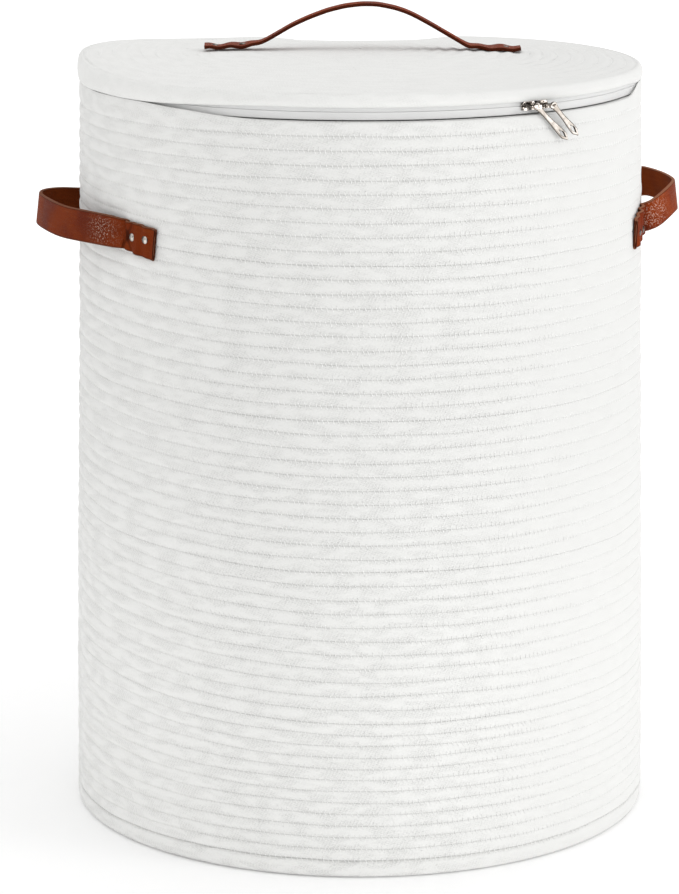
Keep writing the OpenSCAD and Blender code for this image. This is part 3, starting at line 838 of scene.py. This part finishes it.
def hinge_cloth():
    """Cloth strip over the fold at the back, from the wall's top row to the lid's edge: a
    closed thin sheet, hemmed at its sides, that follows the rim's dip."""
    half, rows, columns = np.radians(10), 41, 61
    az = np.pi + np.linspace(-half, half, columns)
    share = np.linspace(0, 1, rows)[:, None]
    level = FOLD_Z + (share * 20.5 - 12) * MM
    z = level + rim_dip(az)
    r = 196.5 * MM + 0.9 * MM * ease(share, 0.3, 0.75) + 0.25 * MM * np.sin(share * 40) * 0.3
    hem = 0.35 * MM * ease(np.abs(az - np.pi), half * 0.90, half * 0.99)
    points = np.concatenate([polar(r + 0.45 * MM + hem, az, z), polar(r - 0.1 * MM, az, z)])
    outer, inner = grid_index(rows, columns), grid_index(rows, columns, first=z.size)
    rims = [np.concatenate([grid[0], grid[1:, -1], grid[-1, -2::-1], grid[-2:0:-1, 0]])
            for grid in (outer, inner)]
    side = np.stack([np.roll(rims[0], -1), rims[0], rims[1], np.roll(rims[1], -1)], axis=-1)
    uv = corner_map(az * RIM_R, level)
    uv = np.concatenate([uv, uv[:, ::-1], np.zeros((len(side), 4, 2))])
    piece = put("hinge_cloth", points,
                np.concatenate([corners(outer), corners(inner)[:, ::-1], side]), uv, TAPE_CLOTH)
    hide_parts("hinge_strip_lower", "hinge_strip_upper")
    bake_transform(piece)
    return piece


# ------------------------------------------------------------------ leather

FLAT = np.linspace(-1, 1, 21)
TURNED = np.radians(np.arange(-67.5, 68, 22.5))


def carry(name, path, level, half_width, thick, material, relief=None, lean=0.0, narrow=1.0,
          shine=0.0):
    """A strap: a flat section with round edges, carried along a path. At each station the
    section's width lies as near to the level direction as a right angle to the path lets it.
    relief pushes it along the normal as a function of the station and of the place across,
    from -1 to 1, lean tips it, narrow pinches its width and shine marks where a highlight is
    painted on."""
    stations = len(path)
    run = np.gradient(path, axis=0)
    run /= np.linalg.norm(run, axis=1)[:, None]
    width_dir = level - (level * run).sum(1)[:, None] * run
    width_dir /= np.linalg.norm(width_dir, axis=1)[:, None]
    normal = np.cross(run, width_dir)
    corner = thick * 0.45
    reach = half_width - corner
    side_u, side_v = reach + corner * np.cos(TURNED), thick / 2 * np.sin(TURNED)
    flat_v = np.full(len(FLAT), thick / 2)
    u = np.concatenate([FLAT * reach, side_u, -FLAT * reach, -side_u])
    v = np.concatenate([flat_v, -side_v, -flat_v, side_v])
    inner = np.repeat([0.0, 0.4, 1.0, 0.4], [len(FLAT), len(TURNED)] * 2)
    share, sides = u / half_width, len(u)
    bend = np.zeros((stations, sides)) if relief is None else relief(share)
    lean, narrow, shine = (np.broadcast_to(value, stations)[:, None]
                           for value in (lean, narrow, shine))
    shift = v + lean * share + bend
    grid = (path[:, None] + width_dir[:, None] * (u * narrow)[..., None]
            + normal[:, None] * shift[..., None])
    index = grid_index(stations, sides, False, True)
    length = np.append(0, np.cumsum(np.linalg.norm(np.diff(path, axis=0), axis=1)))
    faces = [corners(index)[:, ::-1]]
    uv = [corner_map(length[:, None], np.append(u, u[0]))[:, ::-1]]
    for station, order in ((0, -1), (stations - 1, 1)):
        ring = index[station, :-1]
        near, far = ring[:sides // 2], ring[sides // 2:][::-1]
        faces.append(np.stack([near[:-1], near[1:], far[1:], far[:-1]], axis=-1)[:, ::order])
        uv.append(np.full((sides // 2 - 1, 4, 2), half_width))
    # fold sets the painted shade in the creases and glow the painted highlight, both mostly on the
    # outer face.
    fold = np.clip(-bend / (0.9 * MM), 0, 1) * (1 - inner)
    glow = shine * (1 - share ** 2) * (1 - inner)
    return put(name, grid, np.concatenate(faces), np.concatenate(uv), material,
               inner=np.tile(inner, stations), fold=fold, shine=glow)


def creases(t, at, spread):
    """Height of crossing folds where a strap leaves its tab, for each station and each
    place across: two slanting valleys that cross on a low ridge."""
    def relief(share):
        away = (t[:, None] - at) / spread
        slant = hill(away, 0.8 * share, 0.36) + hill(away, -0.8 * share, 0.36)
        return MM * (0.35 * hill(away, 0.0, 1.6) - 0.85 * slant * hill(away, 0.0, 1.6))
    return relief


def side_strap(side, angles, height, end, stand, rise, rubbed, leather):
    """Side handle: tabs on the wall's crests and a free loop between two creases. angles are
    those of its near end, its creases and its far end. With t from 0 at the near crease to 1
    at the far one, stand(t) is its distance from the wall and rise(t) its change of height
    over height; the near tab drops from there to its end. rubbed is the middle and the
    spread of the place where a highlight is painted on."""
    near, crease_near, crease_far, far = angles
    half_width, thick, off_wall = 10.9 * MM, 2.4 * MM, 1.65 * MM
    az = np.radians(np.linspace(near, far, 520))
    raw = (np.degrees(az) - crease_near) / (crease_far - crease_near)
    t, turned = np.clip(raw, 0, 1), np.sign(far - near)
    tab = 1 - ease(t, 0.0, 0.03) * (1 - ease(t, 0.97, 1.0))
    wavy = 0.45 * MM * np.sin(np.degrees(az) * 2.3) * tab
    drop = np.clip(raw / raw[0], 0, 1) * (end - rise(0.0))
    path = polar(wall_radius(height) + off_wall + stand(t) + wavy, az,
                 height + rise(t) + drop)
    near_fold, far_fold = creases(raw, -0.02, 0.036), creases(raw, 1.0, 0.04)
    outwards = -1.7 * MM * np.sin(np.pi * t) * turned
    piece = carry(f"{side}_strap", path, UP * turned, half_width, thick, leather,
                  relief=lambda share: near_fold(share) + far_fold(share),
                  lean=0.5 * MM * np.sin(np.degrees(az) * 1.4) * tab + outwards,
                  narrow=1 - 0.07 * hill(raw, -0.01, 0.05) - 0.05 * hill(raw, 1.0, 0.05),
                  shine=hill(raw, *rubbed))
    return settle_in(piece, "basket", "leather", f"side_handle_{side}")


def left_strap():
    """Left handle: stands off by 35.2 t^0.75 (1 - t^9) mm and keeps nearly one height."""
    def stand(t):
        return 35.2 * MM * t ** 0.75 * (1 - t ** 9)

    def rise(t):
        return MM * (2.1 * (1 - t) ** 3 + 4.2 * np.sin(np.pi * t) ** 0.6
                     - 1.2 * hill(t, 0.38, 0.15))
    return side_strap("left", (-43.3, -52.2, -98.8, -107.7), 424.0 * MM, -1.3 * MM, stand, rise,
                      (0.108, 0.062), LEFT_SHADED_LEATHER)


def right_strap():
    """Right handle: a rounder loop, 27.5 (4 t (1 - t))^0.55 mm wide, that climbs quickly
    from its near tab, stays 17 mm higher and comes down to the far one."""
    def stand(t):
        return 27.5 * MM * (4 * t * (1 - t)) ** 0.55

    def rise(t):
        climb = 17.0 * (1 - 0.50 * (1 - t) ** 12) + 2.2 * hill(t, 0.18, 0.14)
        return climb * MM * (1 - ease(t, 0.66, 1.0))
    return side_strap("right", (72.3, 81.2, 127.8, 136.7), 414.5 * MM, 1.5 * MM, stand, rise,
                      (0.035, 0.042), LEATHER)


def rivets(name, places, size, body, node, shine=1.0):
    """Low domes with a closed back, each at a place with its own outward and side direction
    and dark on the side that it turns from the light; shine is how bright the rest is."""
    bend = np.radians(np.array([90, 62, 38, 18, 0, -35, -90]))[:, None]
    turn = round_turn(20)
    ring, lift = size * np.cos(bend), 0.45 * size * np.sin(bend)
    ring[0], ring[-1] = 0.0, 0.0
    across, upward = ring * np.cos(turn), ring * np.sin(turn)
    bright = ease(across / size, -0.15, 0.30) * (1 - ease(across / size, 0.70, 0.95))
    dots, faces = [], []
    for number, (centre, out, side) in enumerate(places):
        dots.append(centre + side * across[..., None] + np.cross(out, side) * upward[..., None]
                    + out * lift[..., None])
        index = grid_index(*across.shape, False, True, number * across.size, True)
        faces.append(corners(index)[:, ::-1])
    dark = 0.92 * np.tile((1 - bright * shine).ravel(), len(places))
    piece = put(name, np.concatenate(dots), np.concatenate(faces), None, NICKEL, dark=dark)
    return settle_in(piece, body, "nickel", node)


def side_rivets(side, angles, height, reach):
    """The rivets of a side handle, at their angles."""
    places = []
    for angle in np.radians(angles):
        out, along = polar(1.0, angle, 0.0), polar(1.0, angle + np.pi / 2, 0.0)
        places.append((polar(reach, angle, height), out, along))
    return rivets(f"{side}_rivets", places, 2.9 * MM, "basket", f"rivets_{side}")


def lid_strap():
    """Handle on the lid: wavy tabs pressed into the rows and an arch between them. Its
    middle line passes the knots, smoothed by a running mean."""
    knots_x = np.array([-108.5, -97, -84, -76, -68, -59, -47, -35, -22.6, -10.6, 1.4, 12, 24, 32.5,
                        40, 48.8, 56.3, 65, 73, 80, 97, 112]) * MM
    knots_z = np.array([538.8, 538.9, 539.8, 540.4, 542.1, 547.2, 554.2, 559.6, 564.2, 567.2,
                        568.6, 568.4, 566.0, 563.2, 559.6, 554.8, 550.4, 545.4, 540.6, 538.8,
                        537.9, 537.5]) * MM
    x = np.linspace(knots_x[0], knots_x[-1], 420)
    kernel = np.hanning(27) / np.hanning(27).sum()
    z = np.convolve(np.pad(np.interp(x, knots_x, knots_z), 13, mode="edge"), kernel, mode="valid")
    tab = 1 - ease(x, -0.080, -0.066) * (1 - ease(x, 0.068, 0.080))
    z = z + 0.5 * MM * np.sin(x * 400) * tab
    path = np.stack([x, 0 * x, z], axis=-1)
    piece = carry("lid_strap", path, np.cross(UP, EAST), 8 * MM, 2.2 * MM, LID_LEATHER,
                  lean=tab * MM * (0.30 * np.sin(x * 210) + 0.35), shine=0.35 * tab,
                  narrow=1 - 0.05 * tab * np.sin(x * 200) ** 2)
    return settle_in(piece, "lid", "leather", "lid_handle")


# ------------------------------------------------------------------ sliders

def zip_pull(side, az, low, length, lean, slot_at):
    """A pull that hangs from its slider's right post: a ring for its eye and a bevelled bar
    with a pointed end and a slot shaped like a diamond. Rings of points run round the bar's
    outline: the slot's edge above, the face, the side's two edges, the back and the slot's
    edge below; the eye has its own, from the hole over the face and the side to the back.
    length and slot_at are in millimetres down the bar, lean is in degrees, and low is the
    back's distance from the axis. The bar is 4.2 mm wide at the eye, 3.2 mm under it and
    5.0 mm further down."""
    down = np.linspace(1.3, length, 32) * MM
    bar = 2.1 * MM - 0.5 * MM * ease(down, 1 * MM, 6 * MM) \
        + 0.9 * MM * ease(down, 0.35 * length * MM, (length - 6) * MM)
    point = ease(down, (length + 0.4) * MM, (length - 4.5) * MM)
    wide = bar * (0.18 + 0.82 * point)
    share = np.linspace(0, 1, len(down))
    slot_half, slot_long = 1.5 * MM, 8.0
    slot_x = slot_half * (1 - np.abs(2 * share - 1))
    slot_s = (slot_at + slot_long * (share - 0.5)) * MM
    around_x, around_s = 1.2 * slot_x, slot_at * MM + 1.2 * (slot_s - slot_at * MM)
    inset, thick = 0.62 * MM, 1.5 * MM
    rings = []
    for x, s, height in ((slot_x, slot_s, thick), (around_x, around_s, thick),
                         (wide - inset, down, thick),
                         (wide, down, thick - inset), (wide, down, inset),
                         (wide - inset, down, 0.0), (slot_x, slot_s, 0.0)):
        x = np.maximum(x, 0)
        rings.append(np.stack([np.concatenate([x, -x[::-1]]), np.concatenate([s, s[::-1]]),
                               np.full(2 * len(s), height)], axis=-1))
    turn = round_turn(24)
    eye_r = np.array([1.0, 1.0, 1.25, 2.2, 2.5, 2.5, 2.2, 1.25])[:, None] * MM
    eye_h = np.array([0.25, 1.3, 1.56, 1.56, 1.3, 0.2, -0.06, -0.06])[:, None] * MM
    eye = np.stack([eye_r * np.sin(turn), -eye_r * np.cos(turn), eye_h + 0 * turn], axis=-1)
    tilt = np.radians(lean)
    east, out = polar(1.0, az + np.pi / 2, 0.0), polar(1.0, az, 0.0)
    dots, faces, maps, marks = [], [], [], []
    # dark: painted shade and dark reflections on the walls of the slot and of the eye's hole, on
    # the sides and on the back; the face stays bright.
    for flat, dark in ((np.stack(rings), (1.0, 0.0, 0.0, 1.0, 1.0, 0.6, 1.0)),
                       (eye, (1.0, 1.0, 0.2, 0.2, 1.0, 1.0, 0.6, 1.0))):
        sideways = flat[..., 0] * np.cos(tilt) + flat[..., 1] * np.sin(tilt) + POST_SIDE
        rise = flat[..., 0] * np.sin(tilt) - flat[..., 1] * np.cos(tilt)
        reach = low + flat[..., 2] + 0.16 * flat[..., 0]
        first = sum(len(group) for group in dots)
        dots.append((out * reach[..., None] + east * sideways[..., None]
                     + UP * (rise[..., None] + FOLD_Z)).reshape(-1, 3))
        faces.append(corners(grid_index(len(flat), flat.shape[1], True, True, first)))
        maps.append(corner_map(closed(flat[..., 1]), closed(flat[..., 0])))
        marks.append(np.repeat(dark, flat.shape[1]))
    piece = put(f"{side}_pull", np.concatenate(dots), np.concatenate(faces),
                np.concatenate(maps), NICKEL, smooth=False, dark=np.concatenate(marks))
    return settle_in(piece, f"pull_{side}", "nickel", f"pull_{side}")


# ------------------------------------------------------------------ build

for part, (first, last) in enumerate(((0, 12), (12, 23), (23, 34), (34, 45), (45, 55))):
    rope_band(f"rope_rows_{part + 1}", first, last, ("rope_wall",) if part == 0 else ())
base_coil()
wall_stitches("wall_stitches_low", 0, 27)
wall_stitches("wall_stitches_high", 27, 55)
lid_coil()
lid_stitches()
zip_tape("lower_tape", RIM_Z - RIM_SINK + 0.85 * MM, FOLD_Z - 0.08 * MM, 61, "basket",
         "zip_tape_lower")
zip_tape("upper_tape", FOLD_Z + 0.08 * MM, LID_Z - 0.75 * MM, 62, "lid", "zip_tape_upper")
zip_teeth("lower_teeth", FOLD_Z - 1.75 * MM, FOLD_Z - 0.35 * MM, "basket", "zip_chain_lower")
zip_teeth("upper_teeth", FOLD_Z + 0.35 * MM, FOLD_Z + 1.75 * MM, "lid", "zip_chain_upper")
hinge_cloth()
left_strap()
right_strap()
lid_strap()
zip_pull("left", np.radians(34.737), 197.8 * MM, 35.3, 47.3, 28.6)
zip_pull("right", np.radians(38.063), 201.1 * MM, 30.4, 45.4, 23.7)
side_rivets("left", (-45.74, -49.69, -101.31, -105.26), 425.4 * MM, 200.3 * MM)
side_rivets("right", (74.74, 78.69, 130.31, 134.26), 416.5 * MM, 200.1 * MM)
# The lid's rivets show little painted highlight and are painted mostly dark as shade.
rivets("top_rivets", [(np.array([x * MM, 0.0, z * MM]), UP, EAST)
                      for x, z in ((-101.3, 539.4), (-82.0, 540.4), (82.0, 539.0), (101.3, 538.4))],
       2.6 * MM, "lid", "lid_rivets", 0.3)
for metal, nodes in ((NICKEL, ("zip_stops_lower", "zip_stops_upper", "washers_left",
                               "washers_right", "lid_washers")),
                     (PAINTED_REFLECTION_NICKEL, ("slider_left_body", "slider_left_bridge",
                                   "slider_right_body", "slider_right_bridge"))):
    for node in nodes:
        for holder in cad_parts[node].material_slots:
            holder.material = metal

# ------------------------------------------------------------------ studio

view = bpy.data.cameras.new("view")
view.sensor_width = 36.0
view.lens = 143.47
camera = bpy.data.objects.new("view", view)
scene.collection.objects.link(camera)
camera.location = (0.0, -2.4862, 0.8179)
camera.rotation_euler = (np.radians(90 - 12.82), 0.0, np.radians(0.3317))
scene.camera = camera

bpy.ops.mesh.primitive_plane_add(size=12.0, location=(0, FLOOR_BACK, -0.5 * MM))
floor = bpy.context.object
floor.name = "studio_floor"
floor.data.materials.append(floor_paint())


def lamp(name, place, target, power, width, height):
    """Soft rectangular lamp that looks at a target."""
    light = bpy.data.lights.new(name, "AREA")
    light.shape, light.size, light.size_y, light.energy = "RECTANGLE", width, height, power
    holder = bpy.data.objects.new(name, light)
    holder.location = place
    holder.rotation_euler = (Vector(target) - Vector(place)).to_track_quat("-Z", "Y").to_euler()
    scene.collection.objects.link(holder)


for lamp_setting in (("key", (2.7, -1.1, 1.7), (0, 0, 0.3), 11.0, 1.0, 1.0),
                     ("top", (0.0, 0.2, 2.8), (0, 0, 0.4), 14.0, 1.6, 1.6),
                     ("low_left", (-1.1, -2.3, 0.3), (0, 0, 0.08), 3.0, 1.2, 0.3),
                     ("low_right", (2.7, -1.3, 0.3), (0, 0, 0.12), 10.0, 1.2, 0.3)):
    lamp(*lamp_setting)


def dark_card(name, place, width, height):
    """Black card that faces the hamper and shows only in the metal's reflections."""
    corner = np.array([[-1, 0, -1], [1, 0, -1], [1, 0, 1], [-1, 0, 1]])
    card = put(name, corner * np.array([width / 2, 0, height / 2]), [[0, 1, 2, 3]],
               np.array([[[0, 0], [1, 0], [1, 1], [0, 1]]]), BLACK)
    card.location = place
    card.rotation_euler = (0, 0, np.arctan2(place[0], -place[1]))
    card.visible_camera = card.visible_diffuse = card.visible_shadow = False


BLACK = Finish("black_card").finish(Base_Color=(0.01, 0.01, 0.01), Roughness=0.9)
dark_card("card_right", (1.3, 1.6, 0.9), 0.9, 1.2)
dark_card("card_front", (0.7, -2.8, 0.5), 0.5, 1.0)
dark_card("card_left", (-2.2, -1.4, 0.6), 0.9, 1.4)

world = bpy.data.worlds.new("studio")
scene.world = world
world.use_nodes = True
sky = world.node_tree.nodes["Background"].inputs
sky["Color"].default_value = (1.0, 1.0, 1.0, 1.0)
sky["Strength"].default_value = 0.80
scene.view_settings.view_transform = "Standard"
